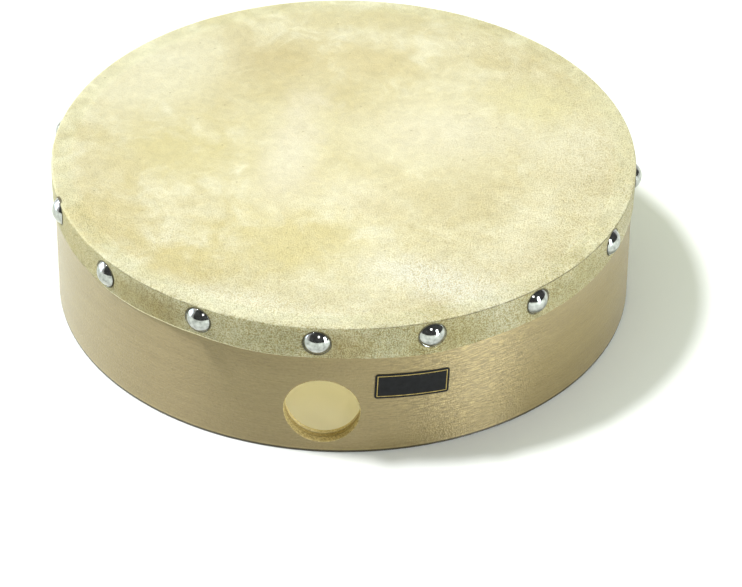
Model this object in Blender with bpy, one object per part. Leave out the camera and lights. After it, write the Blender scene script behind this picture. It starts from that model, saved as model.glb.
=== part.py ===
# Hand drum: a hide head stretched over a bent plywood shell and held by a row of dome-headed tacks.
# Metres, +Z up. The origin is the middle of the open bottom, and the thumb hole faces -Y.
# Angles round the drum start at the thumb hole and grow towards +X.

import math

import bmesh
import bpy
from mathutils import Matrix, Vector

MM = 0.001

# Fits
SEAT_GAP = 0.3 * MM  # left between pieces that bear on each other
GLUE_LINE = 0.3 * MM  # between two plies, and between the two ends of one ply

# Shell
SHELL_DIAMETER = 254 * MM
SHELL_HEIGHT = 65 * MM
OUTER_PLY = 3.2 * MM
CORE_PLY = 2.0 * MM
INNER_PLY = 2.2 * MM
SCARF_LENGTH = 18 * MM  # how far the bevelled ends of a ply lap over each other
OUTER_SEAM_AFTER = 8  # each ply's ends meet midway between this tack and the next
CORE_SEAM_AFTER = 3
INNER_SEAM_AFTER = 12
BEARING_RADIUS = 1.2 * MM  # rounded top edge that the hide bends over
EDGE_BREAK = 0.7 * MM  # sanded corner on the other edges
SHELL_SEGMENTS = 80

# Thumb hole
THUMB_HOLE_DIAMETER = 32 * MM
THUMB_HOLE_HEIGHT = 21.6 * MM  # middle of the hole above the bottom edge
THUMB_HOLE_SEGMENTS = 40

# Hide head
HIDE_THICKNESS = 0.8 * MM
LAP_DEPTH = 16 * MM  # from the playing face down to the trimmed edge
TRIM_SLOW_WANDER = 0.6 * MM  # the edge was cut by hand and is not level
TRIM_QUICK_WANDER = 0.4 * MM
TRIM_SLOW_WAVES = 3  # waves in one turn round the drum
TRIM_QUICK_WAVES = 11
TRIM_SLOW_PHASE = 195  # degrees
TRIM_QUICK_PHASE = 40
BEND_STEPS = 4

# Tacks
TACK_COUNT = 15
TACK_DROP = 7.6 * MM  # from the playing face down to the middle of the head
TACK_START = -1.7  # degrees from the thumb hole to the place marked for the tack above it
TACK_SLIP = (0.8, -1.5, -2.7, -2.2, -1.5, -1, -1.8, -0.6, -1.4, -0.2, -1.1, -0.5, 4.3, 1.8, 1.5)  # hand-set, degrees
TACK_RISE = (-0.06, 0.01, 0.01, 0.04, -0.12, 0.03, -0.04, 0.02, -0.02, 0.05, -0.03, 0.05, 0.16, -0.09, 0.02)  # of a head
TACK_HEAD_DIAMETER = 11.5 * MM
TACK_HEAD_HEIGHT = 3.2 * MM
TACK_METAL = 0.6 * MM  # sheet that the hollow head is pressed from
TACK_SHANK_DIAMETER = 1.8 * MM
TACK_SHANK_LENGTH = 8 * MM  # from the rim of the head to the point
TACK_POINT_LENGTH = 2.4 * MM
TACK_SEGMENTS = 16
TACK_DOME_STEPS = 4
TACK_HOLLOW_STEPS = 2
PILOT_SEGMENTS = 8

# Label
LABEL_WIDTH = 32 * MM
LABEL_HEIGHT = 12.5 * MM
LABEL_THICKNESS = 0.3 * MM
LABEL_CORNER = 1.2 * MM
LABEL_TURN = 17.2  # degrees from the thumb hole to the label's middle
LABEL_MIDDLE = 34 * MM  # above the bottom edge
LABEL_TILT = -2.4  # degrees, set on by hand
LABEL_COLUMNS = 8
LABEL_CORNER_STEPS = 3

# Worked out from the sizes above
SHELL_RADIUS = SHELL_DIAMETER / 2
SHELL_WALL = OUTER_PLY + CORE_PLY + INNER_PLY + 2 * GLUE_LINE
HIDE_INNER_RADIUS = SHELL_RADIUS + SEAT_GAP
HIDE_OUTER_RADIUS = HIDE_INNER_RADIUS + HIDE_THICKNESS
HIDE_UNDERSIDE = SHELL_HEIGHT + SEAT_GAP
PLAYING_FACE = HIDE_UNDERSIDE + HIDE_THICKNESS
TACK_SEAT_RADIUS = HIDE_OUTER_RADIUS + SEAT_GAP
TACK_LEVEL = PLAYING_FACE - TACK_DROP


def clear_scene():
    for old in list(bpy.data.objects):
        bpy.data.objects.remove(old, do_unlink=True)


def finish(name, colour, roughness, metallic=0.0):
    material = bpy.data.materials.new(name)
    material.use_nodes = True
    shader = material.node_tree.nodes["Principled BSDF"]
    shader.inputs["Base Color"].default_value = (*colour, 1)
    shader.inputs["Roughness"].default_value = roughness
    shader.inputs["Metallic"].default_value = metallic
    material.diffuse_color = (*colour, 1)
    return material


def mesh_from(name, bm, smooth_below=40):
    """A closed mesh with its faces pointing out, smooth except across edges sharper than smooth_below degrees."""
    bmesh.ops.recalc_face_normals(bm, faces=bm.faces)
    if bm.calc_volume(signed=True) < 0:
        bmesh.ops.reverse_faces(bm, faces=bm.faces)
    mesh = bpy.data.meshes.new(name)
    bm.to_mesh(mesh)
    bm.free()
    mesh.shade_smooth()
    mesh.set_sharp_from_angle(angle=math.radians(smooth_below))
    return mesh


def place(name, mesh, parent, material):
    piece = bpy.data.objects.new(name, mesh)
    bpy.context.collection.objects.link(piece)
    piece.parent = parent
    if material and not mesh.materials:
        mesh.materials.append(material)
    return piece


def cut(piece, cutter):
    drill = piece.modifiers.new(cutter.name, "BOOLEAN")
    drill.operation = "DIFFERENCE"
    drill.solver = "EXACT"
    drill.object = cutter


def make_cutter(name, mesh, parent):
    cutter = place(name, mesh, parent, None)
    cutter.hide_render = True
    cutter.display_type = "WIRE"
    return cutter


def outward(turn):
    """Unit vector out of the drum at an angle round it, in degrees from the thumb hole."""
    angle = math.radians(turn)
    return Vector((math.sin(angle), -math.cos(angle), 0))


def radial_frame(turn, radius, height):
    """Frame on the drum's side with its Z pointing out and its Y pointing up."""
    out = outward(turn)
    up = Vector((0, 0, 1))
    axes = Matrix((up.cross(out), up, out)).transposed()
    return Matrix.Translation(out * radius + up * height) @ axes.to_4x4()


def arc(centre, radius, start, end, steps):
    """Points of an arc in the (radius, height) plane, its angles in degrees from the radius axis."""
    angles = [math.radians(start + (end - start) * i / steps) for i in range(steps + 1)]
    return [(centre[0] + radius * math.cos(a), centre[1] + radius * math.sin(a)) for a in angles]


def turned(bm, profile, segments, frame):
    """Adds a solid of revolution about the frame's Z. The profile starts and ends on the axis."""
    first = bm.verts.new(frame @ Vector((0, 0, profile[0][1])))
    last = bm.verts.new(frame @ Vector((0, 0, profile[-1][1])))
    rings = []
    for radius, height in profile[1:-1]:
        turns = [math.tau * i / segments for i in range(segments)]
        corners = [Vector((radius * math.cos(t), radius * math.sin(t), height)) for t in turns]
        rings.append([bm.verts.new(frame @ corner) for corner in corners])
    for i in range(segments):
        j = (i + 1) % segments
        bm.faces.new((first, rings[0][i], rings[0][j]))
        bm.faces.new((last, rings[-1][j], rings[-1][i]))
        for upper, lower in zip(rings, rings[1:]):
            bm.faces.new((upper[i], lower[i], lower[j], upper[j]))


def ply_profile(outer_radius, thickness, is_outer, is_inner):
    """Section of one ply in the (radius, height) plane. Only the faces of the wall have worked corners."""
    inner_radius = outer_radius - thickness
    corner = min(EDGE_BREAK, thickness / 2)
    round_over = min(BEARING_RADIUS, thickness / 2)
    points = []
    if is_outer:
        points += [(outer_radius - corner, 0), (outer_radius, corner)]
        points += arc((outer_radius - round_over, SHELL_HEIGHT - round_over), round_over, 0, 90, BEND_STEPS)
    else:
        points += [(outer_radius, 0), (outer_radius, SHELL_HEIGHT)]
    if is_inner:
        points += [(inner_radius + corner, SHELL_HEIGHT), (inner_radius, SHELL_HEIGHT - corner)]
        points += [(inner_radius, corner), (inner_radius + corner, 0)]
    else:
        points += [(inner_radius, SHELL_HEIGHT), (inner_radius, 0)]
    return points


def bent_strip(name, profile, seam_after):
    """A strip bent right round until its bevelled ends meet. Each section leans, so the ends lap as a scarf."""
    seam_turn = TACK_START + 360 * (seam_after - 0.5) / TACK_COUNT
    radii = [radius for radius, _ in profile]
    middle = (min(radii) + max(radii)) / 2
    lean = SCARF_LENGTH / middle / (max(radii) - min(radii))
    span = math.tau - GLUE_LINE / middle
    bm = bmesh.new()
    sections = []
    for i in range(SHELL_SEGMENTS + 1):
        along = math.radians(seam_turn) + GLUE_LINE / middle / 2 + span * i / SHELL_SEGMENTS
        section = []
        for radius, height in profile:
            out = outward(math.degrees(along + lean * (radius - middle)))
            section.append(bm.verts.new(out * radius + Vector((0, 0, height))))
        sections.append(section)
    corners = len(profile)
    for here, there in zip(sections, sections[1:]):
        for k in range(corners):
            n = (k + 1) % corners
            bm.faces.new((here[k], here[n], there[n], there[k]))
    bm.faces.new(sections[0])
    bm.faces.new(reversed(sections[-1]))
    return mesh_from(name, bm)


def thumb_hole_mesh():
    """Drill for the thumb hole, flared where it leaves the wall so that both mouths have a broken edge."""
    radius = THUMB_HOLE_DIAMETER / 2
    wide = radius + 2 * EDGE_BREAK
    dip = SHELL_RADIUS - math.sqrt(SHELL_RADIUS**2 - radius**2)
    outside = SHELL_RADIUS + EDGE_BREAK
    inside = SHELL_RADIUS - SHELL_WALL - dip - EDGE_BREAK
    profile = [(0, outside), (wide, outside), (radius, outside - 2 * EDGE_BREAK)]
    profile += [(radius, inside + 2 * EDGE_BREAK), (wide, inside), (0, inside)]
    bm = bmesh.new()
    turned(bm, profile, THUMB_HOLE_SEGMENTS, radial_frame(0, 0, THUMB_HOLE_HEIGHT))
    return mesh_from("thumb_hole", bm)


def tack_frames(radius):
    """A frame at this radius for each tack, its Z pointing out, where the hammer left it."""
    frames = []
    for i in range(TACK_COUNT):
        turn = TACK_START + 360 * i / TACK_COUNT + TACK_SLIP[i % len(TACK_SLIP)]
        rise = TACK_RISE[i % len(TACK_RISE)] * TACK_HEAD_DIAMETER
        frames.append(radial_frame(turn, radius, TACK_LEVEL + rise))
    return frames


def pilot_holes_mesh():
    """Drills for the tack shanks, all in one, each running in from clear of the hide."""
    radius = TACK_SHANK_DIAMETER / 2 + SEAT_GAP
    mouth = TACK_SEAT_RADIUS + HIDE_THICKNESS
    floor = TACK_SEAT_RADIUS - TACK_SHANK_LENGTH - SEAT_GAP
    profile = [(0, mouth), (radius, mouth), (radius, floor + radius), (0, floor)]
    bm = bmesh.new()
    for frame in tack_frames(0):
        turned(bm, profile, PILOT_SEGMENTS, frame)
    return mesh_from("tack_pilot_holes", bm)


def trimmed_edge(turn):
    """Height of the hide's hand-cut edge at an angle round the drum."""
    slow = math.sin(math.radians(TRIM_SLOW_WAVES * turn + TRIM_SLOW_PHASE))
    quick = math.sin(math.radians(TRIM_QUICK_WAVES * turn + TRIM_QUICK_PHASE))
    return PLAYING_FACE - LAP_DEPTH + TRIM_SLOW_WANDER * slow + TRIM_QUICK_WANDER * quick


def hide_mesh():
    """The hide from its middle out over the bearing edge, down to the trimmed edge and back underneath."""
    round_over = min(BEARING_RADIUS, OUTER_PLY / 2)
    bend = (SHELL_RADIUS - round_over, SHELL_HEIGHT - round_over)
    outside = arc(bend, round_over + SEAT_GAP + HIDE_THICKNESS, 90, 0, BEND_STEPS)
    underside = arc(bend, round_over + SEAT_GAP, 0, 90, BEND_STEPS)
    profile = outside + [(HIDE_OUTER_RADIUS, None), (HIDE_INNER_RADIUS, None)] + underside
    bm = bmesh.new()
    top = bm.verts.new((0, 0, PLAYING_FACE))
    below = bm.verts.new((0, 0, HIDE_UNDERSIDE))
    columns = []
    for i in range(SHELL_SEGMENTS):
        turn = 360 * i / SHELL_SEGMENTS
        heights = [trimmed_edge(turn) if height is None else height for _, height in profile]
        column = [outward(turn) * p[0] + Vector((0, 0, h)) for p, h in zip(profile, heights)]
        columns.append([bm.verts.new(point) for point in column])
    for i, here in enumerate(columns):
        there = columns[(i + 1) % SHELL_SEGMENTS]
        bm.faces.new((top, here[0], there[0]))
        bm.faces.new((below, there[-1], here[-1]))
        for k in range(len(profile) - 1):
            bm.faces.new((here[k], here[k + 1], there[k + 1], there[k]))
    return mesh_from("skin_head", bm)


def tack_mesh():
    """A hollow pressed dome on a pointed shank, turned about Z with the rim of the head at zero."""
    rim = TACK_HEAD_DIAMETER / 2
    shank = TACK_SHANK_DIAMETER / 2
    ball = (rim**2 + TACK_HEAD_HEIGHT**2) / (2 * TACK_HEAD_HEIGHT)
    centre = (0, TACK_HEAD_HEIGHT - ball)
    hollow = ball - TACK_METAL
    rim_angle = math.degrees(math.asin(-centre[1] / ball))
    hollow_angle = math.degrees(math.asin(-centre[1] / hollow))
    shank_angle = math.degrees(math.acos(shank / hollow))
    profile = arc(centre, ball, 90, rim_angle, TACK_DOME_STEPS)
    profile += arc(centre, hollow, hollow_angle, shank_angle, TACK_HOLLOW_STEPS)
    profile += [(shank, TACK_POINT_LENGTH - TACK_SHANK_LENGTH), (0, -TACK_SHANK_LENGTH)]
    bm = bmesh.new()
    turned(bm, profile, TACK_SEGMENTS, Matrix())
    return mesh_from("tack", bm)


def label_mesh():
    """A thin plate with rounded corners, cut flat, divided into columns and wrapped round the shell."""
    half_width = LABEL_WIDTH / 2 - LABEL_CORNER
    half_height = LABEL_HEIGHT / 2 - LABEL_CORNER
    outline = []
    for quarter, (across, along) in enumerate(((1, 1), (-1, 1), (-1, -1), (1, -1))):
        middle = (across * half_width, along * half_height)
        outline += arc(middle, LABEL_CORNER, 90 * quarter, 90 * (quarter + 1), LABEL_CORNER_STEPS)
    bm = bmesh.new()
    face = bm.faces.new([bm.verts.new((x, y, 0)) for x, y in outline])
    grown = bmesh.ops.extrude_face_region(bm, geom=[face])
    raised = [v for v in grown["geom"] if isinstance(v, bmesh.types.BMVert)]
    bmesh.ops.translate(bm, verts=raised, vec=(0, 0, LABEL_THICKNESS))
    for i in range(1, LABEL_COLUMNS):
        across = LABEL_WIDTH * (i / LABEL_COLUMNS - 0.5)
        everything = bm.verts[:] + bm.edges[:] + bm.faces[:]
        bmesh.ops.bisect_plane(bm, geom=everything, plane_co=(across, 0, 0), plane_no=(1, 0, 0))
    tilt = Matrix.Rotation(math.radians(LABEL_TILT), 3, "Z")
    back = SHELL_RADIUS + SEAT_GAP
    for vert in bm.verts:
        flat = tilt @ vert.co
        out = outward(LABEL_TURN + math.degrees(flat.x / back))
        vert.co = out * (back + vert.co.z) + Vector((0, 0, LABEL_MIDDLE + flat.y))
    return mesh_from("side_label", bm)


def build_shell(drum, wood):
    thumb_hole = make_cutter("thumb_hole_cutter", thumb_hole_mesh(), drum)
    pilot_holes = make_cutter("tack_pilot_cutter", pilot_holes_mesh(), drum)
    core_radius = SHELL_RADIUS - OUTER_PLY - GLUE_LINE
    inner_radius = core_radius - CORE_PLY - GLUE_LINE
    plies = (
        ("outer_ply", ply_profile(SHELL_RADIUS, OUTER_PLY, True, False), OUTER_SEAM_AFTER),
        ("core_ply", ply_profile(core_radius, CORE_PLY, False, False), CORE_SEAM_AFTER),
        ("inner_ply", ply_profile(inner_radius, INNER_PLY, False, True), INNER_SEAM_AFTER),
    )
    for name, profile, seam_after in plies:
        ply = place(name, bent_strip(name, profile, seam_after), drum, wood[name])
        cut(ply, thumb_hole)
        cut(ply, pilot_holes)
    return pilot_holes


def build_drum():
    clear_scene()
    wood = {
        "outer_ply": finish("lacquered birch face", (0.60, 0.48, 0.28), 0.45),
        "core_ply": finish("raw birch core", (0.46, 0.33, 0.16), 0.75),
        "inner_ply": finish("sanded birch back", (0.62, 0.50, 0.28), 0.6),
    }
    hide = finish("dried hide", (0.82, 0.77, 0.52), 0.55)
    chrome = finish("chromed steel", (0.80, 0.80, 0.80), 0.08, 1.0)
    vinyl = finish("black vinyl", (0.012, 0.012, 0.012), 0.35)

    drum = bpy.data.objects.new("hand_drum", None)
    bpy.context.collection.objects.link(drum)
    pilot_holes = build_shell(drum, wood)
    head = place("skin_head", hide_mesh(), drum, hide)
    cut(head, pilot_holes)
    tack = tack_mesh()
    for number, frame in enumerate(tack_frames(TACK_SEAT_RADIUS), start=1):
        nail = place(f"tack_{number:02d}", tack, drum, chrome)
        nail.matrix_local = frame
    place("side_label", label_mesh(), drum, vinyl)


build_drum()
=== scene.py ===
# Hand drum, the looks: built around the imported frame, in metres, with the thumb hole towards -Y.
# A place round the drum is its turn: degrees from the thumb hole, growing towards +X.
import math

import bpy
from mathutils import Euler, Matrix, Vector, noise


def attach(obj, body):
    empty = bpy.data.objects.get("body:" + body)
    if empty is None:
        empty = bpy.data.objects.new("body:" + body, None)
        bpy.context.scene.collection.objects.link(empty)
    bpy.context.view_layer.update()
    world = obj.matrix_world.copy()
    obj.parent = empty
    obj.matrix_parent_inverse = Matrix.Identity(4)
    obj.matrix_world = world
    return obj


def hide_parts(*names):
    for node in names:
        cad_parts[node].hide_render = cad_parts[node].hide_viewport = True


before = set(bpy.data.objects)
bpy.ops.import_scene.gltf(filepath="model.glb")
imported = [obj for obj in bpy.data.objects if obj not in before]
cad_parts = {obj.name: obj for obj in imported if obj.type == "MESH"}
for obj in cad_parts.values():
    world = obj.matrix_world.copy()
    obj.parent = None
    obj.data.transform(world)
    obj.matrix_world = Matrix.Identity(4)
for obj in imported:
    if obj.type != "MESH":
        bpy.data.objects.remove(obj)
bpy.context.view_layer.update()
print("frame loaded:", len(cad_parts), "nodes")

scene = bpy.context.scene
scene.view_settings.view_transform = "Standard"
mm = 0.001
metre = 1000  # in mm: over a size in mm it gives a texture's scale
weld = 0.005  # mm: points nearer than this become one


def hexToLinear(code):
    parts = [int(code[i:i + 2], 16) / 255 for i in (1, 3, 5)]
    return [p / 12.92 if p <= 0.04045 else ((p + 0.055) / 1.055) ** 2.4 for p in parts] + [1.0]


# adds a node; inputs holds values, or what to link from: a socket, or a node for the first output it shows;
# stops are a ramp's (place, hex) pairs
def addNode(tree, kind, settings={}, inputs={}, stops=()):
    node = tree.nodes.new("ShaderNode" + kind)
    for key, value in settings.items():
        setattr(node, key, value)
    for key, value in inputs.items():
        if isinstance(value, bpy.types.Node):
            value = next(output for output in value.outputs if output.enabled)
        if isinstance(value, bpy.types.NodeSocket):
            tree.links.new(value, node.inputs[key])
        else:
            node.inputs[key].default_value = value
    for i, (place, code) in enumerate(stops):
        stop = node.color_ramp.elements[i] if i < 2 else node.color_ramp.elements.new(place)
        stop.position, stop.color = place, hexToLinear(code)
    return node


# settings that many nodes share; a Mix takes its share at 0, and numbers at 2 and 3 or colours at 6 and 7
smoothStep = {"interpolation_type": "SMOOTHSTEP"}
unclamped = {"clamp": False}
mixColour = {"data_type": "RGBA"}
multiplyColour = {"data_type": "RGBA", "blend_type": "MULTIPLY"}
minus = {"operation": "SUBTRACT"}
times = {"operation": "MULTIPLY"}
timesPlus = {"operation": "MULTIPLY_ADD"}
largest = {"operation": "MAXIMUM"}
length = {"operation": "LENGTH"}
distance = {"operation": "DISTANCE"}
scaled = {"operation": "SCALE"}


def newMaterial(name):
    material = bpy.data.materials.new(name)
    material.use_nodes = True
    tree = material.node_tree
    tree.nodes.clear()
    place = addNode(tree, "TexCoord").outputs["Object"]
    return material, tree, place


def roundDrum(turn, radius, height):
    a = math.radians(turn)
    return Vector((radius * math.sin(a), -radius * math.cos(a), height)) * mm


# a line of vertices drawn point by point, closed to a face where it is a section
def traceProfile(name, points, section=False):
    bpy.ops.object.select_all(action="DESELECT")
    bpy.ops.mesh.primitive_plane_add(size=mm)
    piece = bpy.context.active_object
    piece.name = piece.data.name = name
    bpy.ops.object.mode_set(mode="EDIT")
    bpy.ops.mesh.merge(type="CENTER")
    bpy.ops.transform.translate(value=points[0])
    for here, there in zip(points, points[1:]):
        bpy.ops.mesh.extrude_region_move(TRANSFORM_OT_translate={"value": there - here})
    if section:
        bpy.ops.mesh.select_all(action="SELECT")
        bpy.ops.mesh.edge_face_add()
    return piece


def spinProfile(steps, degrees=360):
    bpy.ops.mesh.select_all(action="SELECT")
    bpy.ops.mesh.spin(steps=steps, angle=math.radians(degrees), center=(0, 0, 0), axis=(0, 0, 1))
    bpy.ops.mesh.select_all(action="SELECT")
    bpy.ops.mesh.remove_doubles(threshold=weld * mm)
    bpy.ops.mesh.normals_make_consistent(inside=False)
    bpy.ops.object.mode_set(mode="OBJECT")


def applyModifier(piece, kind, **settings):
    modifier = piece.modifiers.new(kind.lower(), kind)
    for key, value in settings.items():
        setattr(modifier, key, value)
    bpy.context.view_layer.objects.active = piece
    bpy.ops.object.modifier_apply(modifier=modifier.name)


def smoothBelow(piece, degrees):
    bpy.ops.object.select_all(action="DESELECT")
    piece.select_set(True)
    bpy.context.view_layer.objects.active = piece
    bpy.ops.object.shade_smooth_by_angle(angle=math.radians(degrees))


def handIn(piece, slotName, *nodes):
    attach(piece, "root")
    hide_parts(*nodes)


# materials

# Birch veneer, sliced, sanded and lacquered thin: fine short streaks along the bend, and silky fibres that
# spread a highlight up and down the side into a soft upright glow.
birch = {
    "tones": [(0.28, "#847046"), (0.5, "#958356"), (0.72, "#A69264")],
    # noises drawn out along the bend: length and width in mm, detail, roughness, distortion
    "noises": {
        "figure": (120, 8, 3, 0.55, 0.5), "streak": (16, 0.8, 4, 0.7, 0), "pore": (1.6, 0.9, 2, 0.6, 0),
        "fleck": (4.5, 0.7, 3, 0.7, 0),
    },
    "figureShare": 0.22, "streakShare": 0.3, "poreShare": 0.48,
    "poreColour": "#69562E", "poreRange": (0.62, 0.75), "poreMost": 0.2,
    "knotColour": "#513C23", "knotSpacing": 26, "knotRange": (0.01, 0.035), "knotMost": 0.5,
    # the patch of painted sheen, flecks painted strong where the highlight lies: where it is, how far it
    # reaches in mm, and how strong the flecks are inside it and, as the grain's own faint flecks, outside
    "sheenFleckTurn": 28, "sheenFleckHeight": 40, "sheenFleckReach": (10, 50), "fleckAndSheenStrength": (3.9, 0.5),
    "fleckAndSheenMiddle": 0.49, "fleckAndSheenDarkest": 0.8,
    # the foot: depth of its face, heights of the painted contact shade and of the painted highlight above it
    # in mm, and their tones
    "faceDepth": (0.5, 0.2), "footShadeBand": (1.0, 1.45), "footShadeTone": 0.18,
    "footHighlightBand": (1.6, 2.5), "footHighlightTone": 1.25,
    "grit": 0.8, "gritRise": 1.3, "poreRise": 1.6, "relief": 0.12,
    "roughFrom": (0.3, 0.7), "roughness": (0.42, 0.58),
}


def birchVeneer(name, seamTurn, radius, tint, share):
    material, tree, place = newMaterial(name)
    # the unrolled strip: x along the bend from the seam, y up
    fromSeam = math.radians(270 - seamTurn)
    turned = addNode(tree, "Mapping", {}, {"Vector": place, "Rotation": (0, 0, fromSeam)})
    axes = addNode(tree, "SeparateXYZ", {}, {0: turned})
    bend = addNode(tree, "Math", {"operation": "ARCTAN2"}, {0: axes.outputs[1], 1: axes.outputs[0]})
    along = addNode(tree, "Math", times, {0: bend, 1: radius * mm})
    strip = addNode(tree, "CombineXYZ", {}, {0: along, 1: axes.outputs[2], 2: 0.0})
    drawn = {}
    for key, (long, wide, detail, roughness, distortion) in birch["noises"].items():
        stretch = addNode(tree, "Mapping", {}, {"Vector": strip, "Scale": (metre / long, metre / wide, 1)})
        drawn[key] = addNode(tree, "TexNoise", {}, {
            "Vector": stretch, "Scale": 1,
            "Detail": detail, "Roughness": roughness, "Distortion": distortion,
        })
    figured = addNode(tree, "Math", times, {0: drawn["figure"], 1: birch["figureShare"]})
    streaked = addNode(tree, "Math", timesPlus, {0: drawn["streak"], 1: birch["streakShare"], 2: figured})
    fibred = addNode(tree, "Math", timesPlus, {0: drawn["pore"], 1: birch["poreShare"], 2: streaked})
    wood = addNode(tree, "ValToRGB", {}, {"Fac": fibred}, birch["tones"])
    tinted = addNode(tree, "Mix", mixColour, {0: share, 6: wood, 7: hexToLinear(tint)})
    poreMask = addNode(tree, "MapRange", {}, {
        "Value": drawn["pore"], "From Min": birch["poreRange"][0], "From Max": birch["poreRange"][1],
        "To Max": birch["poreMost"],
    })
    pored = addNode(tree, "Mix", mixColour, {0: poreMask, 6: tinted, 7: hexToLinear(birch["poreColour"])})
    knot = addNode(tree, "TexVoronoi", {}, {"Vector": place, "Scale": metre / birch["knotSpacing"]})
    knotMask = addNode(tree, "MapRange", {}, {
        "Value": knot, "From Min": birch["knotRange"][0], "From Max": birch["knotRange"][1],
        "To Min": birch["knotMost"], "To Max": 0,
    })
    knotted = addNode(tree, "Mix", mixColour, {0: knotMask, 6: pored, 7: hexToLinear(birch["knotColour"])})
    # right of the label the grain's flecks are painted strong and a little lighter on the mean: a painted
    # sheen where the highlight lies; further off they are the grain's own faint flecks
    sheenPatchMiddle = roundDrum(birch["sheenFleckTurn"], radius, birch["sheenFleckHeight"])
    fromSheenPatch = addNode(tree, "VectorMath", distance, {0: place, 1: sheenPatchMiddle})
    fleckAndSheenShare = addNode(tree, "MapRange", smoothStep, {
        "Value": fromSheenPatch,
        "From Min": birch["sheenFleckReach"][0] * mm, "From Max": birch["sheenFleckReach"][1] * mm,
        "To Min": birch["fleckAndSheenStrength"][0], "To Max": birch["fleckAndSheenStrength"][1],
    })
    fleckAndSheenRise = addNode(tree, "Math", minus, {0: drawn["fleck"], 1: birch["fleckAndSheenMiddle"]})
    fleckAndSheenScale = addNode(tree, "Math", timesPlus, {0: fleckAndSheenRise, 1: fleckAndSheenShare, 2: 1.0})
    fleckAndSheenTone = addNode(tree, "Math", largest, {0: fleckAndSheenScale, 1: birch["fleckAndSheenDarkest"]})
    fleckedAndSheened = addNode(tree, "VectorMath", scaled, {0: knotted, "Scale": fleckAndSheenTone})
    # painted shade runs along the foot's bottom edge where it meets the floor, below a thin painted
    # highlight on the rounded edge
    level = addNode(tree, "CombineXYZ", {}, {0: axes.outputs[0], 1: axes.outputs[1], 2: 0.0})
    fromAxis = addNode(tree, "VectorMath", length, {0: level})
    onFace = addNode(tree, "MapRange", {}, {
        "Value": fromAxis,
        "From Min": (radius - birch["faceDepth"][0]) * mm, "From Max": (radius - birch["faceDepth"][1]) * mm,
    })
    footShadeBand = addNode(tree, "MapRange", smoothStep, {
        "Value": axes.outputs[2], "From Min": birch["footShadeBand"][0] * mm, "From Max": birch["footShadeBand"][1] * mm,
        "To Min": birch["footShadeTone"],
    })
    footHighlightBand = addNode(tree, "MapRange", smoothStep, {
        "Value": axes.outputs[2], "From Min": birch["footHighlightBand"][0] * mm, "From Max": birch["footHighlightBand"][1] * mm,
        "To Min": birch["footHighlightTone"],
    })
    footShadeAndHighlight = addNode(tree, "Math", times, {0: footShadeBand, 1: footHighlightBand})
    footShadeAndHighlightScale = addNode(tree, "Mix", {}, {0: onFace, 2: 1.0, 3: footShadeAndHighlight})
    footShadedAndLit = addNode(tree, "VectorMath", scaled, {0: fleckedAndSheened, "Scale": footShadeAndHighlightScale})
    grit = addNode(tree, "TexNoise", {}, {"Vector": place, "Scale": metre / birch["grit"], "Detail": 1})
    lines = addNode(tree, "Math", timesPlus, {0: grit, 1: birch["gritRise"], 2: drawn["streak"]})
    height = addNode(tree, "Math", timesPlus, {0: drawn["pore"], 1: birch["poreRise"], 2: lines})
    bump = addNode(tree, "Bump", {}, {"Distance": birch["relief"] * mm, "Height": height})
    rough = addNode(tree, "MapRange", {}, {
        "Value": drawn["pore"], "From Min": birch["roughFrom"][0], "From Max": birch["roughFrom"][1],
        "To Min": birch["roughness"][0], "To Max": birch["roughness"][1],
    })
    fibres = addNode(tree, "Tangent", {"direction_type": "RADIAL", "axis": "Z"})
    shader = addNode(tree, "BsdfPrincipled", {}, {
        "Base Color": footShadedAndLit, "Roughness": rough, "IOR": 1.5, "Normal": bump,
        "Metallic": 0.3, "Specular IOR Level": 0.6,
        "Anisotropic": 1.0, "Anisotropic Rotation": 0.25, "Tangent": fibres,
        "Coat Weight": 0.6, "Coat Roughness": 0.22, "Coat IOR": 1.5,
    })
    addNode(tree, "OutputMaterial", {}, {"Surface": shader})
    return material


# Birch ply, drilled: the hole's wall is torn end grain that drinks the lacquer, so golden brown, rough and
# speckled.
drilled = {
    "torn": (1.2, 0.6, 1.2), "fibre": 0.7, "fibreShare": 0.35, "toneRange": (0.45, 0.85), "relief": 0.25,
    "roughness": 0.75,
}


def drilledGrain(name, pale, dark):
    material, tree, place = newMaterial(name)
    scales = [metre / size for size in drilled["torn"]]
    layers = addNode(tree, "Mapping", {}, {"Vector": place, "Scale": scales})
    torn = addNode(tree, "TexNoise", {}, {"Vector": layers, "Scale": 1, "Detail": 4, "Roughness": 0.7})
    fibre = addNode(tree, "TexVoronoi", {}, {"Vector": place, "Scale": metre / drilled["fibre"]})
    mixed = addNode(tree, "Math", timesPlus, {0: fibre, 1: drilled["fibreShare"], 2: torn})
    tones = list(zip(drilled["toneRange"], (dark, pale)))
    colour = addNode(tree, "ValToRGB", {}, {"Fac": mixed}, tones)
    bump = addNode(tree, "Bump", {}, {"Strength": 0.7, "Distance": drilled["relief"] * mm, "Height": mixed})
    shader = addNode(tree, "BsdfPrincipled", {}, {
        "Base Color": colour, "Roughness": drilled["roughness"], "Normal": bump,
    })
    addNode(tree, "OutputMaterial", {}, {"Surface": shader})
    return material
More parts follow.
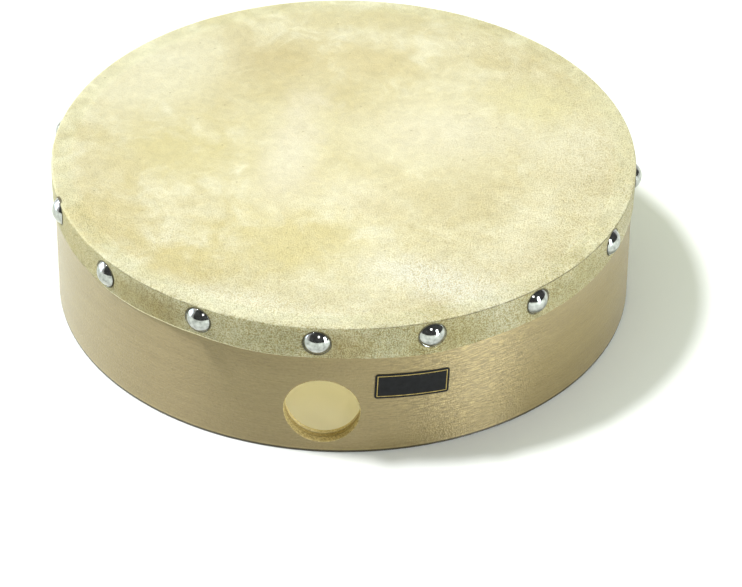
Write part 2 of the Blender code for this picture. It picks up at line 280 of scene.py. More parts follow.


# Goat rawhide, scraped, stretched wet and dried: cream with straw clouds and a fine pebbly grain, and light
# comes through. It is painted darker and yellower where it lies on wood, a painted shade for the light that
# comes through less there. The grain is drawn coarser than its 0.4 mm, to show.
rawhide = {
    "tones": [(0.37, "#DFD6B6"), (0.5, "#EDE8D1"), (0.63, "#F8F5E4")],
    # both colours are painted shade: the first where wood lies behind the hide, the second down its side
    "overWood": "#E6E3D6", "sideShade": "#D6D6CD",
    # noises: size in mm, detail, roughness, distortion
    "noises": {
        "cloud": (46, 5, 0.62, 0.4), "patch": (15, 7, 0.7, 0.7), "mottle": (4.5, 3, 0.6, 0.8),
        "grit": (0.56, 1, 0.5, 0),
    },
    # where the wood begins behind it, from the axis, and where the side begins, from the floor, in mm
    "woodFrom": 116, "woodTo": 122, "sideFrom": 65.8, "sideTo": 65.1,
    "cloudShare": 0.5, "patchShare": 0.5, "ragged": 2.6, "cloudFade": (0.2, 1.65), "blotch": (0.92, 1.11),
    "pull": (1.1, 7), "pullTone": (0.92, 1.08),
    # the grain: sizes in mm, shares, and the worn place with how flat and how sharp it gets
    "grooveToneAndShade": "#C4B88E", "grooveRange": (0.78, 1.28), "pebble": 0.68, "pebbleShare": 0.75, "gritShare": 1.15,
    "wornAt": (-30, 50), "wornReach": (75, 180), "wornSharp": (0.45, 1.9), "cloudSharp": (1.15, 0.85),
    "faceContrast": 0.52, "lapContrast": 0.62, "ringCalm": -0.3, "raised": 0.14, "relief": 0.33,
    "speck": "#8C7C50", "speckSpacing": 33, "speckRange": (0.008, 0.02), "speckMost": 0.5,
    # the painted shade ring round each tack: its colour, inner and outer radius in mm, and strength
    "pressed": "#4E4632", "tackShadeRange": (5.95, 6.6), "tackShadeMost": 0.85,
    "roughness": (0.7, 0.54), "through": 0.36, "throughWood": 0.05, "throughColour": "#FFF8D6",
    # the painted shade line along the crease: its radius, height and half width in mm
    "creaseShaded": "#6A6344", "creaseShadeRadius": 128, "creaseShadeHeight": 65.4, "creaseShadeWidth": (0.1, 0.4),
    # where the painted crease shade lies: turn, reach to each side in degrees, strength
    "creaseShadeStretches": [(52, 36, 0.85), (16, 20, 0.6), (-34, 18, 0.5)],
    # the hide's own clouds: x, y, z, half length, half width, half height, slant, colour, strength
    "clouds": [
        (-22, 48, 66, 90, 70, 40, 0, "#D8D0B1", 0.66), (-38, 72, 66, 22, 22, 40, 10, "#C8BA94", 0.7),
        (3, 75, 66, 27, 17, 40, 0, "#D5C8A2", 0.65), (-19, 48, 66, 42, 14, 40, -4, "#D2C8A6", 0.7),
        (8, 112, 66, 62, 12, 40, 0, "#D8CFAB", 0.65), (-84, 62, 66, 30, 20, 40, 40, "#F6F3E4", 0.55),
        (-76, -7, 66, 32, 22, 40, 14, "#D6CC9F", 0.75), (-104, -24, 66, 18, 24, 40, 0, "#DED5B6", 0.65),
        (-98, -58, 66, 18, 24, 40, 30, "#D7CA9C", 0.7), (-62, -88, 66, 20, 15, 40, -34, "#D8CA94", 0.75),
        (-20, -70, 66, 34, 23, 40, 4, "#DCD1A2", 0.75), (-33, -114, 66, 46, 9, 40, -14, "#FDFBEE", 0.9),
        (-22, 6, 66, 11, 42, 40, -3, "#EFEADF", 0.7), (44, 20, 66, 36, 21, 40, 4, "#F1EDE2", 0.6),
        (8, -32, 66, 16, 12, 40, -20, "#F9F5EA", 0.45), (50, -93, 66, 32, 13, 40, -20, "#FDFDFA", 0.9),
        (44, -30, 66, 40, 20, 40, 6, "#DCD4B8", 0.65), (90, 44, 66, 26, 17, 40, -10, "#EAE4BE", 0.7),
        (104, 10, 66, 18, 34, 40, -6, "#FAF7EA", 0.5), (80, -80, 66, 20, 20, 40, 40, "#E6E0CC", 0.5),
        (-76, -103, 55, 24, 6, 8, -37, "#C8B67C", 0.6), (-71, -107, 58, 9, 5, 7, -33, "#BEA866", 0.35),
        (-110, -66, 58, 24, 8, 9, -59, "#F5EBCC", 0.72), (-20, -126, 57, 14, 5, 9, -9, "#DCDBC2", 0.45),
        (32, -124, 57, 14, 5, 9, 14, "#DCDCC6", 0.45), (8, -128, 55, 10, 5, 8, 4, "#D0BE8C", 0.6),
        (52, -117, 55, 22, 6, 8, 24, "#D3CBA4", 0.6), (104, -74, 56, 10, 34, 9, -35, "#D6D0B0", 0.7),
        (125, -27, 58, 30, 9, 10, 78, "#FBF8EE", 0.95),
    ],
}
chartWidth = 200  # mm across the hide's chart of its tacks


# a share of the light goes on through the hide, and what is already inside it all goes out
def letThrough(tree, shader, share):
    glow = addNode(tree, "BsdfTranslucent", {}, {"Color": hexToLinear(rawhide["throughColour"])})
    inside = addNode(tree, "NewGeometry").outputs["Backfacing"]
    passing = addNode(tree, "Math", largest, {0: inside, 1: share})
    skinAndGlow = addNode(tree, "MixShader", {}, {0: passing, 1: shader, 2: glow})
    addNode(tree, "OutputMaterial", {}, {"Surface": skinAndGlow})


def rawhideSkin(name):
    material, tree, place = newMaterial(name)
    axes = addNode(tree, "SeparateXYZ", {}, {0: place})
    level = addNode(tree, "CombineXYZ", {}, {0: axes.outputs[0], 1: axes.outputs[1], 2: 0.0})
    fromAxis = addNode(tree, "VectorMath", length, {0: level})
    onWood = addNode(tree, "MapRange", smoothStep, {
        "Value": fromAxis, "From Min": rawhide["woodFrom"] * mm, "From Max": rawhide["woodTo"] * mm,
    })
    onSide = addNode(tree, "MapRange", smoothStep, {
        "Value": axes.outputs[2], "From Min": rawhide["sideFrom"] * mm, "From Max": rawhide["sideTo"] * mm,
    })
    spread = {}
    for key, (size, detail, roughness, distortion) in rawhide["noises"].items():
        spread[key] = addNode(tree, "TexNoise", {}, {
            "Vector": place, "Scale": metre / size,
            "Detail": detail, "Roughness": roughness, "Distortion": distortion,
        })

    # clouds with ragged edges over the hide's own tones
    tone = addNode(tree, "Math", times, {0: spread["patch"], 1: rawhide["patchShare"]})
    tones = addNode(tree, "Math", timesPlus, {0: spread["cloud"], 1: rawhide["cloudShare"], 2: tone})
    base = addNode(tree, "ValToRGB", {}, {"Fac": tones}, rawhide["tones"])
    ragged = addNode(tree, "Math", timesPlus, {
        0: spread["patch"], 1: rawhide["ragged"], 2: -rawhide["ragged"] / 2,
    })
    for x, y, z, long, wide, tall, slant, colour, strength in rawhide["clouds"]:
        turned = addNode(tree, "Mapping", {"vector_type": "TEXTURE"}, {
            "Vector": place, "Location": (x * mm, y * mm, z * mm), "Rotation": (0, 0, math.radians(slant)),
            "Scale": (long * mm, wide * mm, tall * mm),
        })
        away = addNode(tree, "VectorMath", length, {0: turned})
        edge = addNode(tree, "Math", {"operation": "ADD"}, {0: away, 1: ragged})
        share = addNode(tree, "MapRange", smoothStep, {
            "Value": edge, "From Min": rawhide["cloudFade"][0], "From Max": rawhide["cloudFade"][1],
            "To Min": strength, "To Max": 0,
        })
        base = addNode(tree, "Mix", mixColour, {0: share, 6: base, 7: hexToLinear(colour)})
    blotch = addNode(tree, "MapRange", unclamped, {
        "Value": spread["mottle"], "From Min": 0.3, "From Max": 0.7,
        "To Min": rawhide["blotch"][0], "To Max": rawhide["blotch"][1],
    })
    blotched = addNode(tree, "VectorMath", scaled, {0: base, "Scale": blotch})
    # painted shade: darker and yellower where wood lies behind and less light comes through
    backed = addNode(tree, "Mix", multiplyColour, {
        0: onWood, 6: blotched, 7: hexToLinear(rawhide["overWood"]),
    })
    # painted shade: the lapped side is darker than the face
    sideShaded = addNode(tree, "Mix", multiplyColour, {
        0: onSide, 6: backed, 7: hexToLinear(rawhide["sideShade"]),
    })
    # the lap was pulled down wet, which drew the hide out in short upright lines
    acrossPull, downPull = rawhide["pull"]
    drawn = addNode(tree, "Mapping", {}, {
        "Vector": place, "Scale": (metre / acrossPull, metre / acrossPull, metre / downPull),
    })
    pull = addNode(tree, "TexNoise", {}, {"Vector": drawn, "Scale": 1, "Detail": 3, "Roughness": 0.6})
    pullTone = addNode(tree, "MapRange", unclamped, {
        "Value": pull, "From Min": 0.3, "From Max": 0.7,
        "To Min": rawhide["pullTone"][0], "To Max": rawhide["pullTone"][1],
    })
    pullScale = addNode(tree, "Mix", {}, {0: onSide, 2: 1.0, 3: pullTone})
    pulled = addNode(tree, "VectorMath", scaled, {0: sideShaded, "Scale": pullScale})
    # a thin line of painted shade along the crease, broken up by the patch noise
    overCrease = addNode(tree, "Math", minus, {0: axes.outputs[2], 1: rawhide["creaseShadeHeight"] * mm})
    fromCrease = addNode(tree, "Math", {"operation": "ABSOLUTE"}, {0: overCrease})
    creaseLine = addNode(tree, "MapRange", smoothStep, {
        "Value": fromCrease,
        "From Min": rawhide["creaseShadeWidth"][0] * mm, "From Max": rawhide["creaseShadeWidth"][1] * mm,
        "To Min": 1, "To Max": 0,
    })
    creaseShadeBreakup = addNode(tree, "MapRange", {}, {
        "Value": spread["patch"], "From Min": 0.4, "From Max": 0.55, "To Min": 0.4,
    })
    broken = addNode(tree, "Math", times, {0: creaseLine, 1: creaseShadeBreakup})
    creaseShaded = pulled
    creaseShadeRadius = rawhide["creaseShadeRadius"] * mm
    for turn, reach, strength in rawhide["creaseShadeStretches"]:
        ahead = addNode(tree, "VectorMath", {"operation": "DOT_PRODUCT"}, {
            0: level, 1: roundDrum(turn, metre, 0),
        })
        share = addNode(tree, "MapRange", smoothStep, {
            "Value": ahead,
            "From Min": creaseShadeRadius * math.cos(math.radians(reach)), "From Max": creaseShadeRadius,
            "To Max": strength,
        })
        creaseShadeShare = addNode(tree, "Math", times, {0: broken, 1: share})
        creaseShaded = addNode(tree, "Mix", multiplyColour, {
            0: creaseShadeShare, 6: creaseShaded, 7: hexToLinear(rawhide["creaseShaded"]),
        })
    # a thin ring of painted shade round each tack's rim, where the head meets the hide
    chart = addNode(tree, "UVMap", {"uv_map": "tackChart"})
    fromTack = addNode(tree, "VectorMath", distance, {0: chart, 1: (0, 0.5, 0)})
    tackShadeMask = addNode(tree, "MapRange", smoothStep, {
        "Value": fromTack, "To Min": rawhide["tackShadeMost"], "To Max": 0,
        "From Min": rawhide["tackShadeRange"][0] / chartWidth, "From Max": rawhide["tackShadeRange"][1] / chartWidth,
    })
    pressed = addNode(tree, "Mix", multiplyColour, {
        0: tackShadeMask, 6: creaseShaded, 7: hexToLinear(rawhide["pressed"]),
    })

    # the grain is worn flat left of the middle, and stays sharp towards the front and on the lap
    pebble = addNode(tree, "TexVoronoi", {}, {"Vector": place, "Scale": metre / rawhide["pebble"]})
    gritty = addNode(tree, "Math", times, {0: spread["grit"], 1: rawhide["gritShare"]})
    grain = addNode(tree, "Math", timesPlus, {0: pebble, 1: rawhide["pebbleShare"], 2: gritty})
    wornX, wornY = rawhide["wornAt"]
    fromWorn = addNode(tree, "VectorMath", distance, {0: level, 1: (wornX * mm, wornY * mm, 0)})
    placeSharp = addNode(tree, "MapRange", {}, {
        "Value": fromWorn,
        "From Min": rawhide["wornReach"][0] * mm, "From Max": rawhide["wornReach"][1] * mm,
        "To Min": rawhide["wornSharp"][0], "To Max": rawhide["wornSharp"][1],
    })
    cloudSharp = addNode(tree, "MapRange", {}, {
        "Value": spread["cloud"], "From Min": 0.38, "From Max": 0.62,
        "To Min": rawhide["cloudSharp"][0], "To Max": rawhide["cloudSharp"][1],
    })
    sharp = addNode(tree, "Math", times, {0: placeSharp, 1: cloudSharp})
    depth = addNode(tree, "Math", times, {0: sharp, 1: grain})
    grooveToneAndShade = addNode(tree, "MapRange", {}, {
        "Value": grain, "From Min": rawhide["grooveRange"][0], "From Max": rawhide["grooveRange"][1],
    })
    lapped = addNode(tree, "MapRange", {}, {
        "Value": onSide, "To Min": rawhide["faceContrast"], "To Max": rawhide["lapContrast"],
    })
    # and is pressed smoother where the top lies on the wood
    ring = addNode(tree, "Math", minus, {0: onWood, 1: onSide})
    calm = addNode(tree, "Math", timesPlus, {0: ring, 1: rawhide["ringCalm"], 2: sharp})
    contrast = addNode(tree, "Math", times, {0: lapped, 1: calm})
    # the colour is raised a little by the same contrast and the grooves darkened: partly the hide's own
    # grain tone, partly painted shade in the grooves
    grooveToneAndShadeShare = addNode(tree, "Math", times, {0: contrast, 1: grooveToneAndShade})
    raised = addNode(tree, "Math", timesPlus, {0: contrast, 1: rawhide["raised"], 2: 1.0})
    lifted = addNode(tree, "VectorMath", scaled, {0: pressed, "Scale": raised})
    grained = addNode(tree, "Mix", multiplyColour, {
        0: grooveToneAndShadeShare, 6: lifted, 7: hexToLinear(rawhide["grooveToneAndShade"]),
    })
    # a few dark specks on the playing face
    speck = addNode(tree, "TexVoronoi", {"voronoi_dimensions": "2D"}, {
        "Vector": level, "Scale": metre / rawhide["speckSpacing"],
    })
    speckMask = addNode(tree, "MapRange", {}, {
        "Value": speck, "To Min": rawhide["speckMost"], "To Max": 0,
        "From Min": rawhide["speckRange"][0], "From Max": rawhide["speckRange"][1],
    })
    onTop = addNode(tree, "Math", minus, {0: 1.0, 1: onSide})
    speckShare = addNode(tree, "Math", times, {0: speckMask, 1: onTop})
    specked = addNode(tree, "Mix", mixColour, {0: speckShare, 6: grained, 7: hexToLinear(rawhide["speck"])})
    bump = addNode(tree, "Bump", {"invert": True}, {
        "Distance": rawhide["relief"] * mm, "Height": depth,
    })
    rough = addNode(tree, "MapRange", {}, {
        "Value": spread["cloud"], "From Min": 0.3, "From Max": 0.7,
        "To Min": rawhide["roughness"][0], "To Max": rawhide["roughness"][1],
    })
    shader = addNode(tree, "BsdfPrincipled", {}, {
        "Base Color": specked, "Roughness": rough, "Specular IOR Level": 0.3,
        "Normal": bump,
    })
    # more goes through where no wood lies behind
    through = addNode(tree, "MapRange", {}, {
        "Value": onWood, "To Min": rawhide["through"], "To Max": rawhide["throughWood"],
    })
    letThrough(tree, shader, through)
    return material


# Rawhide's flesh side, scraped: matt pale fibre that scatters most of the light back inside.
flesh = {
    "fibre": 3, "cloud": 46, "fibreShare": 0.6, "tones": [(0.55, "#EDE3C0"), (1.05, "#F9F4DE")],
    "relief": 0.3, "roughness": 0.8, "through": 0.48,
}


def fleshSide(name):
    material, tree, place = newMaterial(name)
    fibre = addNode(tree, "TexNoise", {}, {
        "Vector": place, "Scale": metre / flesh["fibre"], "Detail": 5, "Roughness": 0.65, "Distortion": 1.5,
    })
    cloud = addNode(tree, "TexNoise", {}, {"Vector": place, "Scale": metre / flesh["cloud"], "Detail": 3})
    tones = addNode(tree, "Math", timesPlus, {0: fibre, 1: flesh["fibreShare"], 2: cloud})
    colour = addNode(tree, "ValToRGB", {}, {"Fac": tones}, flesh["tones"])
    bump = addNode(tree, "Bump", {}, {"Strength": 0.6, "Distance": flesh["relief"] * mm, "Height": fibre})
    shader = addNode(tree, "BsdfPrincipled", {}, {
        "Base Color": colour, "Roughness": flesh["roughness"], "Specular IOR Level": 0.3,
        "Normal": bump,
    })
    letThrough(tree, shader, flesh["through"])
    return material


# Rawhide's knife-cut edge: dry pale fibre with no grain layer on it.
cutEdge = {"fibre": 1.5, "tones": [(0.35, "#CFC493"), (0.65, "#ECE5C2")], "relief": 0.15, "roughness": 0.7}


def cutRawhide(name):
    material, tree, place = newMaterial(name)
    fibre = addNode(tree, "TexNoise", {}, {
        "Vector": place, "Scale": metre / cutEdge["fibre"], "Detail": 3, "Roughness": 0.6,
    })
    colour = addNode(tree, "ValToRGB", {}, {"Fac": fibre}, cutEdge["tones"])
    bump = addNode(tree, "Bump", {}, {"Strength": 0.5, "Distance": cutEdge["relief"] * mm, "Height": fibre})
    shader = addNode(tree, "BsdfPrincipled", {}, {
        "Base Color": colour, "Roughness": cutEdge["roughness"], "Normal": bump,
    })
    addNode(tree, "OutputMaterial", {}, {"Surface": shader})
    return material


# Chromed steel, pressed: a mirror that stays a little wavy from the die.
chrome = {
    "wave": 5, "haze": 1.6, "tones": [(0.32, "#929490"), (0.7, "#C4C6C2")], "relief": 0.25,
    "hazeRange": (0.35, 0.75), "roughness": (0.05, 0.14),
}


def pressedChrome(name):
    material, tree, place = newMaterial(name)
    wave = addNode(tree, "TexNoise", {}, {"Vector": place, "Scale": metre / chrome["wave"], "Detail": 1})
    haze = addNode(tree, "TexNoise", {}, {"Vector": place, "Scale": metre / chrome["haze"], "Detail": 3})
    colour = addNode(tree, "ValToRGB", {}, {"Fac": haze}, chrome["tones"])
    rough = addNode(tree, "MapRange", {}, {
        "Value": haze, "From Min": chrome["hazeRange"][0], "From Max": chrome["hazeRange"][1],
        "To Min": chrome["roughness"][0], "To Max": chrome["roughness"][1],
    })
    bump = addNode(tree, "Bump", {}, {"Strength": 0.25, "Distance": chrome["relief"] * mm, "Height": wave})
    shader = addNode(tree, "BsdfPrincipled", {}, {
        "Base Color": colour, "Metallic": 1.0, "Roughness": rough, "Normal": bump,
    })
    addNode(tree, "OutputMaterial", {}, {"Surface": shader})
    return material


# PVC film, printed black with a plain foil line, slightly scuffed.
vinyl = {
    "black": [(0.35, "#0D0D0E"), (0.75, "#1B1B1D")], "gold": [(0.3, "#8F7A3E"), (0.7, "#C2AB67")],
    "lineInset": 1.1, "lineHalf": 0.16, "scuff": 2.5, "scuffRange": (0.3, 0.7), "roughness": (0.38, 0.52),
}


def printedVinyl(name, width, height):
    material, tree, place = newMaterial(name)
    uv = addNode(tree, "UVMap", {"uv_map": "flat"})
    axes = addNode(tree, "SeparateXYZ", {}, {0: uv})
    # how far a point is outside the line, in mm, along each axis
    edges = []
    for axis, size in ((0, width), (1, height)):
        middle = addNode(tree, "Math", minus, {0: axes.outputs[axis], 1: 0.5})
        half = addNode(tree, "Math", {"operation": "ABSOLUTE"}, {0: middle})
        side = addNode(tree, "Math", times, {0: half, 1: size})
        edges.append(addNode(tree, "Math", minus, {0: side, 1: size / 2 - vinyl["lineInset"]}))
    edge = addNode(tree, "Math", largest, {0: edges[0], 1: edges[1]})
    line = addNode(tree, "Math", {"operation": "COMPARE"}, {0: edge, 1: 0.0, 2: vinyl["lineHalf"]})
    scuff = addNode(tree, "TexNoise", {}, {
        "Vector": place, "Scale": metre / vinyl["scuff"], "Detail": 4, "Roughness": 0.7,
    })
    black = addNode(tree, "ValToRGB", {}, {"Fac": scuff}, vinyl["black"])
    gold = addNode(tree, "ValToRGB", {}, {"Fac": scuff}, vinyl["gold"])
    colour = addNode(tree, "Mix", mixColour, {0: line, 6: black, 7: gold})
    rough = addNode(tree, "MapRange", {}, {
        "Value": scuff, "From Min": vinyl["scuffRange"][0], "From Max": vinyl["scuffRange"][1],
        "To Min": vinyl["roughness"][0], "To Max": vinyl["roughness"][1],
    })
    shader = addNode(tree, "BsdfPrincipled", {}, {
        "Base Color": colour, "Roughness": rough, "Specular IOR Level": 0.15,
    })
    addNode(tree, "OutputMaterial", {}, {"Surface": shader})
    return material


# the bent shell, three plies with scarfed ends

shell = {
    "height": 65, "steps": 360, "rowSpacing": 2.6, "scarf": 18, "jointGap": 0.16, "innerEase": 0.3,
    "lowSteps": 4, "topSteps": 5, "holeRadius": 16, "holeHeight": 21.6, "holeRound": 0.35, "holeSteps": 120,
    "cutPast": 3, "smooth": 40,
}
plies = [
    {
        "name": "outerPlyBirch", "node": "outer_ply", "slot": "shell_face", "outer": 127.0, "inner": 123.8,
        "topRound": 0.7, "bottomRound": 0.4, "seam": 178.3,
        "tint": "#C9BC95", "tintShare": 0.0, "wallPale": "#CBB67C", "wallDark": "#84703C",
    },
    {
        "name": "corePlyBirch", "node": "core_ply", "slot": "shell_core", "outer": 123.5, "inner": 121.5,
        "topRound": 0.3, "bottomRound": 0.3, "seam": 58.3,
        "tint": "#C2AE80", "tintShare": 0.5, "wallPale": "#BBA568", "wallDark": "#86703C",
    },
    {
        "name": "innerPlyBirch", "node": "inner_ply", "slot": "shell_back", "outer": 121.2, "inner": 119.0,
        "topRound": 0.3, "bottomRound": 0.6, "seam": 274.3,
        "tint": "#E2D7B2", "tintShare": 0.75, "wallPale": "#E2D4A4", "wallDark": "#BBA569",
    },
]


def arcPoints(centreR, centreZ, radius, start, end, count):
    steps = [math.radians(start + (end - start) * i / count) for i in range(count + 1)]
    return [(centreR + radius * math.cos(a), centreZ + radius * math.sin(a)) for a in steps]


def rowsBetween(low, high):
    count = max(2, round(abs(high - low) / shell["rowSpacing"]))
    return [low + (high - low) * i / count for i in range(1, count)]


def plySection(ply):
    outer, inner, top, low = ply["outer"], ply["inner"], ply["topRound"], ply["bottomRound"]
    height, ease = shell["height"], shell["innerEase"]
    points = arcPoints(outer - low, low, low, -90, 0, shell["lowSteps"])
    points += [(outer, z) for z in rowsBetween(low, height - top)]
    points += arcPoints(outer - top, height - top, top, 0, 90, shell["topSteps"])
    points += [(inner + ease, height), (inner, height - ease)]
    points += [(inner, z) for z in rowsBetween(height - ease, ease)]
    points += [(inner, ease), (inner + ease, 0)]
    return points


# the thumb hole's cutter follows the bend, so its rounded rims are even all the way round
def holeCutter(material):
    radius, rim = shell["holeRadius"], shell["holeRound"]
    outer, inner = plies[0]["outer"], plies[-1]["inner"]
    turns = [math.radians(a) for a in (0, 18, 36, 54, 72, 90)]
    rings = [(radius + rim, outer + shell["cutPast"])]
    rings += [(radius + rim * (1 - math.sin(a)), outer - rim * (1 - math.cos(a))) for a in turns]
    rings += [(radius + rim * (1 - math.sin(a)), inner + rim * (1 - math.cos(a))) for a in reversed(turns)]
    rings += [(radius + rim, inner - shell["cutPast"])]
    cutter = traceProfile("holeCutter", [Vector((r * mm, 0, -d * mm)) for r, d in rings])
    spinProfile(shell["holeSteps"])
    # the spun rings stand on Z: lay them along Y, and bow each ring to its own radius of the shell
    for vert in cutter.data.vertices:
        x, z, shellRadius = vert.co.x, vert.co.y, -vert.co.z
        vert.co = (x, -math.sqrt(shellRadius ** 2 - x ** 2), z + shell["holeHeight"] * mm)
    bpy.ops.object.mode_set(mode="EDIT")
    bpy.ops.mesh.select_all(action="SELECT")
    bpy.ops.mesh.fill_holes(sides=0)
    bpy.ops.mesh.normals_make_consistent(inside=False)
    bpy.ops.object.mode_set(mode="OBJECT")
    cutter.data.materials.append(material)
    return cutter


for ply in plies:
    middle = (ply["outer"] + ply["inner"]) / 2
    thickness = ply["outer"] - ply["inner"]
    gap = math.degrees(shell["jointGap"] / ply["outer"])
    lean = math.degrees(shell["scarf"] / middle) / thickness  # degrees for each mm of depth
    section = [roundDrum(ply["seam"] + gap / 2 + lean * (r - middle), r, z) for r, z in plySection(ply)]
    piece = traceProfile(ply["name"], section, section=True)
    spinProfile(shell["steps"], 360 - gap)
    veneerName = "lacquered birch veneer " + ply["node"]
    veneer = birchVeneer(veneerName, ply["seam"], ply["outer"], ply["tint"], ply["tintShare"])
    piece.data.materials.append(veneer)
    cutter = holeCutter(drilledGrain("drilled birch " + ply["node"], ply["wallPale"], ply["wallDark"]))
    applyModifier(
        piece, "BOOLEAN", operation="DIFFERENCE", solver="EXACT", object=cutter, material_mode="TRANSFER",
    )
    bpy.data.objects.remove(cutter)
    smoothBelow(piece, shell["smooth"])
    handIn(piece, ply["slot"], ply["node"])
    print(ply["name"], len(piece.data.polygons), "faces")


# the tacks: hand-set, so each sits a little off its mark

tack = {
    "count": 15, "start": -1.7, "level": 58.5, "seat": 127.85,
    "slip": (0.8, -1.5, -2.7, -2.2, -1.5, -1, -1.8, -0.6, -1.4, -0.2, -1.1, -0.5, 4.3, 1.8, 1.5),
    "rise": (-0.7, 0.1, 0.1, 0.5, -1.4, 0.3, -0.5, 0.2, -0.2, 0.6, -0.3, 0.6, 1.8, -1.0, 0.2),
    "headRadius": 5.75, "headHeight": 3.2, "lip": 0.12, "metal": 0.6, "hollowEdge": (0.4, 0.35),
    "hollowFoot": (0.6, 0.6), "shankTop": 0.2, "shank": 0.9, "shankLength": 8, "point": 2.4,
    "steps": 72, "domeSteps": 18, "lipSteps": 5, "lipTurn": (40, -90), "smooth": 50,
    # the lean of each head in degrees, and the wave that spreads it from tack to tack
    "tilt": 2.5, "tiltStep": 2.4, "tiltWaves": (1.0, 1.7), "spinStep": 1.3,
}
tackTurns = [tack["start"] + 360 / tack["count"] * i + slip for i, slip in enumerate(tack["slip"])]
tackHeights = [tack["level"] + rise for rise in tack["rise"]]


def tackProfile():
    edge, rise, lip = tack["headRadius"] - tack["lip"], tack["headHeight"], tack["lip"]
    ball = (edge ** 2 + (rise - lip) ** 2) / (2 * (rise - lip))
    reach = math.degrees(math.asin(edge / ball))
    turns = [math.radians(reach * i / tack["domeSteps"]) for i in range(tack["domeSteps"] + 1)]
    dome = [(ball * math.sin(a), rise - ball + ball * math.cos(a)) for a in turns]
    rolled = arcPoints(edge, lip, lip, *tack["lipTurn"], tack["lipSteps"])
    (edgeIn, edgeUp), (footOut, footUp) = tack["hollowEdge"], tack["hollowFoot"]
    inner, shank = edge - tack["metal"], tack["shank"]
    under = [(inner, 0), (inner - edgeIn, edgeUp), (shank + footOut, footUp), (shank, tack["shankTop"])]
    stem = [(shank, tack["point"] - tack["shankLength"]), (0, -tack["shankLength"])]
    return [Vector((r * mm, 0, z * mm)) for r, z in dome + rolled + under + stem]


pattern = traceProfile("tackPattern", tackProfile())
spinProfile(tack["steps"])
pattern.data.materials.append(pressedChrome("pressed chromed steel"))
smoothBelow(pattern, tack["smooth"])
tackPieces = []
for i, turn in enumerate(tackTurns):
    piece = pattern.copy()
    piece.data = pattern.data.copy()
    piece.name = piece.data.name = f"domeTack{i + 1:02d}"
    scene.collection.objects.link(piece)
    # small lean of each head, from a fixed wave so that every run is the same
    waves = [math.sin(k * (i + 1) * tack["tiltStep"]) for k in tack["tiltWaves"]]
    leanX, leanY = (math.radians(tack["tilt"]) * wave for wave in waves)
    upright = Euler((math.radians(90), 0, math.radians(turn))).to_matrix()
    stand = upright @ Euler((leanX, leanY, i * tack["spinStep"])).to_matrix()
    piece.data.transform(Matrix.Translation(roundDrum(turn, tack["seat"], tackHeights[i])) @ stand.to_4x4())
    handIn(piece, "tack_chrome", f"tack_{i + 1:02d}")
    tackPieces.append(piece)
bpy.data.objects.remove(pattern)
print("tacks", len(tackPieces))


# the rawhide: one round skin, stretched over the rim, lapped down the side and trimmed by knife

skin = {
    "thickness": 0.8, "radius": 128.1, "face": 66.1, "crease": 1.0, "lap": 16,
    "steps": 640, "creaseSteps": 8, "lapRows": 22, "smooth": 50, "slack": 0.01,
    "rings": (
        3, 7, 12, 18, 25, 33, 41, 49, 57, 65, 73, 81, 88, 95, 101, 106, 111, 115, 118, 120.5, 122.5, 124.2,
        125.4,
    ),
    # the face cockles a little, and the rim and lap waver: amounts, sizes and reaches in mm
    "cockle": 0.07, "cockleSize": 24, "cockleFade": 12, "waver": 0.12, "waverSize": 9, "waverReach": 4,
    "ripple": 0.05, "rippleSize": 4, "lapWaver": 0.35,
    # dimples under the tacks, and the trimmed edge that lifts between them
    "dimple": 0.3, "dimpleReach": 6.3, "lift": 0.12, "liftAtTack": 0.4, "liftSpan": 25,
    "liftMiddle": 0.7, "liftNoise": 0.6, "liftSize": 11,
    # the trimmed edge: amount, waves round the drum and start in degrees, and the knife's own wander
    "trimWaves": [(0.6, 3, 195), (0.4, 11, 40)], "trimWander": 0.16, "wanderStep": 0.42,
    "skive": 0.35, "outerBand": 0.5, "edgeBand": 0.25,
    "cutLeast": 0.2, "cutSlant": 0.7, "cutTurn": -36, "cutReach": 25,
    # small folds dried into the lap: turn, height, half length, half width, rise, slant
    "folds": [
        (-57, 56.5, 3.0, 0.7, 0.35, 60), (-54, 55.0, 2.6, 0.6, 0.3, 70), (-12, 53.5, 3.0, 0.8, 0.2, 80),
        (33, 56.0, 3.5, 0.8, 0.22, 75), (75, 54.0, 3.0, 0.7, 0.25, 65), (128, 55.0, 3.2, 0.8, 0.3, 70),
        (190, 54.0, 3.0, 0.7, 0.25, 80), (262, 55.5, 3.0, 0.8, 0.3, 60),
    ],
    "foldBow": 0.12,
}


def skinProfile():
    face, radius, crease = skin["face"], skin["radius"], skin["crease"]
    points = [(0, face)] + [(r, face) for r in skin["rings"]]
    points += arcPoints(radius - crease, face - crease, crease, 90, 0, skin["creaseSteps"])
    drop = skin["lap"] - crease
    points += [(radius, face - crease - drop * i / skin["lapRows"]) for i in range(1, skin["lapRows"] + 1)]
    return [Vector((r * mm, 0, z * mm)) for r, z in points]


def turnOf(co):
    return math.degrees(math.atan2(co.x, -co.y))


# how far a turn is past a mark, along the side in mm
def pastMark(turn, mark):
    return math.radians((turn - mark + 180) % 360 - 180) * skin["radius"]


def nearTack(turn):
    offs = [pastMark(turn, mark) for mark in tackTurns]
    near = min(range(tack["count"]), key=lambda i: abs(offs[i]))
    return offs[near], tackHeights[near]


def trimmedEdge(turn):
    edge = skin["face"] - skin["lap"]
    for amount, count, start in skin["trimWaves"]:
        edge += amount * math.sin(math.radians(count * turn + start))
    return edge + skin["trimWander"] * noise.noise(Vector((turn * skin["wanderStep"], 3.1, 0.7)))


